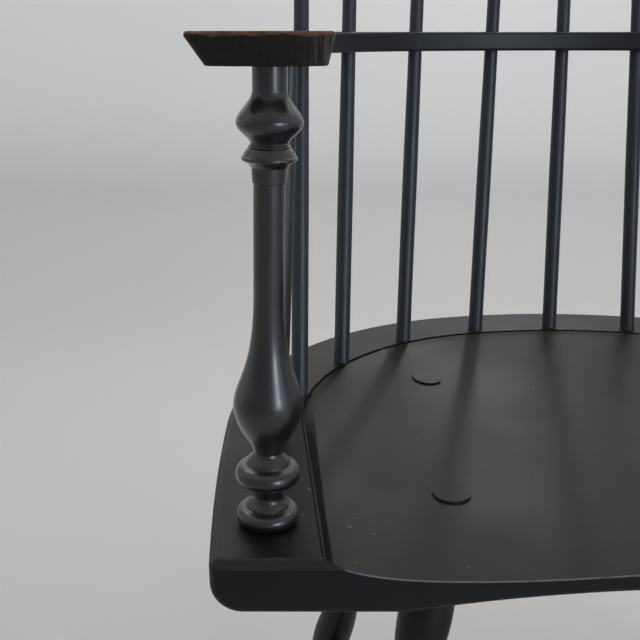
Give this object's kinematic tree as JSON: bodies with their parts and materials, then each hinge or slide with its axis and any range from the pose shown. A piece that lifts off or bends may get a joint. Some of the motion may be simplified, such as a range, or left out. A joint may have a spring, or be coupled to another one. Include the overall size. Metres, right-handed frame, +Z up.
{
  "type": "windsor armchair",
  "caption": "Painted comb-back windsor armchair: saddle seat, bent arm rail with paddle hands, turned arm posts and legs, thin back spindles through the rail into a bent crest, H stretcher.",
  "frame": {"origin": "on the floor, under the middle of the chair's footprint box", "axes": "+Z up, the chair faces -Y, +X is to the sitter's left"},
  "size_m": [0.576, 0.4954, 1.0986],
  "materials": {
    "seat": "dark charcoal satin paint on wood",
    "arm_rail": "dark charcoal satin paint on wood",
    "crest": "dark charcoal satin paint on wood",
    "spindles": "dark charcoal satin paint on wood",
    "posts": "dark charcoal satin paint on wood",
    "wedges_and_pins": "dark charcoal satin paint on wood",
    "legs": "dark charcoal satin paint on wood",
    "stretchers": "dark charcoal satin paint on wood"
  },
  "bodies": {
    "root": {"arm_post_left": "posts", "arm_post_right": "posts", "arm_rail": "arm_rail", "arm_wedge_left": "wedges_and_pins", "arm_wedge_right": "wedges_and_pins", "crest_pin_centre": "wedges_and_pins", "crest_pin_left": "wedges_and_pins", "crest_pin_right": "wedges_and_pins", "crest_rail": "crest", "leg_back_left": "legs", "leg_back_right": "legs", "leg_front_left": "legs", "leg_front_right": "legs", "leg_wedge_back_left": "wedges_and_pins", "leg_wedge_back_right": "wedges_and_pins", "leg_wedge_front_left": "wedges_and_pins", "leg_wedge_front_right": "wedges_and_pins", "long_spindle_1": "spindles", "long_spindle_2": "spindles", "long_spindle_3": "spindles", "long_spindle_4": "spindles", "long_spindle_5": "spindles", "long_spindle_6": "spindles", "long_spindle_7": "spindles", "long_spindle_8": "spindles", "long_spindle_9": "spindles", "seat": "seat", "short_spindle_left": "spindles", "short_spindle_right": "spindles", "stretcher_cross": "stretchers", "stretcher_side_left": "stretchers", "stretcher_side_right": "stretchers"}
  },
  "joints": []
}
